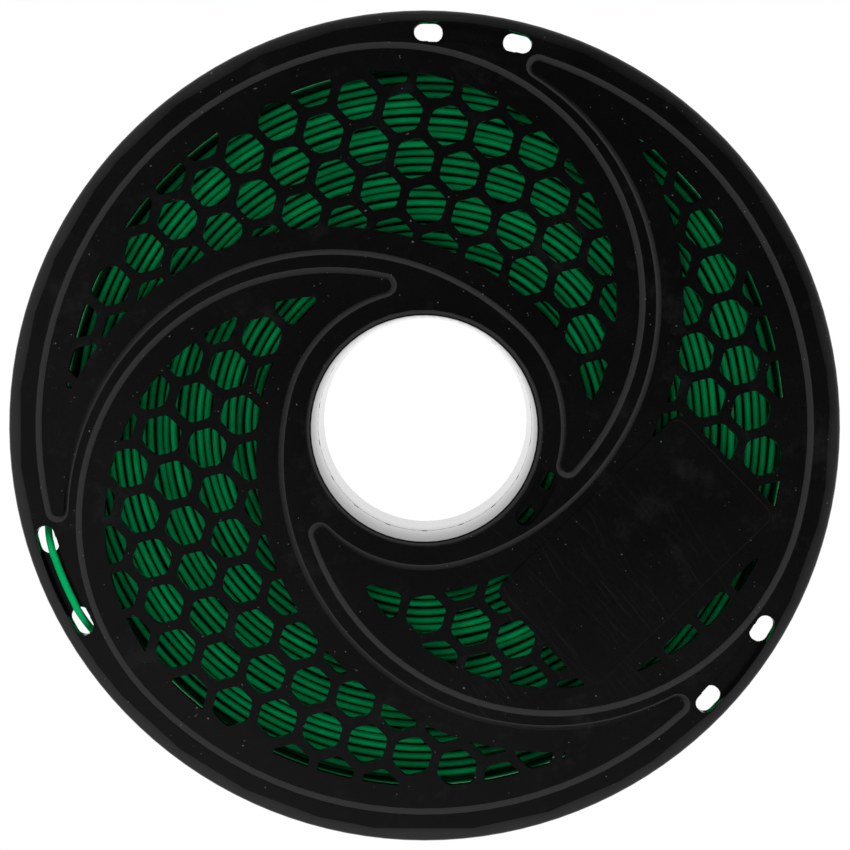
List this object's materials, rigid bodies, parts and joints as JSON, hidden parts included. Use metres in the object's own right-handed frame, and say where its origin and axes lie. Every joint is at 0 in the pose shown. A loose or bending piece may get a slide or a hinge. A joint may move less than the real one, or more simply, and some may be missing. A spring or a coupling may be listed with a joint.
{
  "type": "filament spool",
  "caption": "Full spool of plastic filament: two swirl-patterned flanges with honeycomb windows on a hollow core, with the loose end threaded through rim holes.",
  "frame": {"origin": "on the spool's axis, at the outer face of the rear flange, on which it lies", "axes": "+Z along the spool's axis towards the front flange; +X and +Y lie in the flange's face, with the label pad towards +X and -Y"},
  "size_m": [0.2, 0.2, 0.06],
  "materials": {
    "black_plastic": "moulded black plastic, satin faces and a glossy bore",
    "green_filament": "smooth extruded filament with a soft gloss"
  },
  "bodies": {
    "rear": {"rear_half": "black_plastic"},
    "front": {"front_half": "black_plastic", "filament_winding": "green_filament", "filament_tail": "green_filament"}
  },
  "joints": [
    {"name": "halves_pull_apart", "type": "slide", "parent": "rear", "child": "front", "axis": [0, 0, 1], "range_m": [0, 0.04]}
  ]
}
